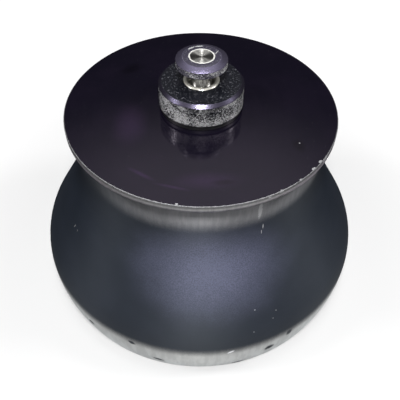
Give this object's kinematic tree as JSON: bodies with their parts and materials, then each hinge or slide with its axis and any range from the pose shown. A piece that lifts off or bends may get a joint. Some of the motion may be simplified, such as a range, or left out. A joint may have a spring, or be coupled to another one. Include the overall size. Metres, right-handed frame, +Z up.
{
  "type": "fixed angle rotor",
  "caption": "Bell-shaped fixed angle centrifuge rotor with slanted tube cavities, a flat screw-down lid, a large knurled lid knob and a small knurled lock screw knob.",
  "frame": {"origin": "centre of the face that the rotor stands on", "axes": "+Z up along the spin axis, +X through the middle of one tube cavity"},
  "size_m": [0.23, 0.23, 0.1721],
  "materials": {
    "anodised_body": "black anodised aluminium, fine turned, satin, with a blue-violet cast",
    "anodised_lid": "black anodised aluminium, smooth and semi-gloss, with a violet cast and a worn bright edge",
    "anodised_knob": "black anodised aluminium, knurl worn to bare metal",
    "anodised_lock_knob": "dark violet-grey anodised aluminium, worn knurl",
    "bright_steel": "turned stainless steel",
    "screw_steel": "plain machined steel",
    "bronze": "plain bearing bronze",
    "seal_rubber": "greased black rubber",
    "black_plastic": "black bearing plastic",
    "speed_ring_film": "black film with bright sectors"
  },
  "bodies": {
    "rotor": {"rotor_body": "anodised_body", "spindle_adapter": "bright_steel", "adapter_screws": "screw_steel", "drive_pins": "screw_steel", "speed_ring": "speed_ring_film", "lid_stud": "bright_steel"},
    "lid": {"lid_plate": "anodised_lid", "lid_seal": "seal_rubber"},
    "lid_knob_group": {"lid_knob": "anodised_knob", "lid_stem": "bright_steel", "knob_pins": "screw_steel", "slip_ring": "black_plastic", "thrust_washer": "bronze", "stem_seal": "seal_rubber"},
    "lock_washer_group": {"lock_washer": "bright_steel"},
    "lock_screw_group": {"lock_screw": "bright_steel", "lock_knob": "anodised_lock_knob", "lock_pins": "screw_steel", "lock_ring": "screw_steel", "lock_seal": "seal_rubber"}
  },
  "joints": [
    {"name": "lid_lift", "type": "slide", "parent": "rotor", "child": "lid", "axis": [0, 0, 1], "range_m": [0, 0.16]},
    {"name": "lid_knob_turn", "type": "hinge", "parent": "lid", "child": "lid_knob_group", "pos_m": [0, 0, 0.1375], "axis": [0, 0, 1], "continuous": true},
    {"name": "lock_screw_lift", "type": "slide", "parent": "lid_knob_group", "child": "lock_washer_group", "axis": [0, 0, 1], "range_m": [0, 0.008]},
    {"name": "lock_screw_turn", "type": "hinge", "parent": "lock_washer_group", "child": "lock_screw_group", "pos_m": [0, 0, 0.1655], "axis": [0, 0, 1], "continuous": true}
  ]
}
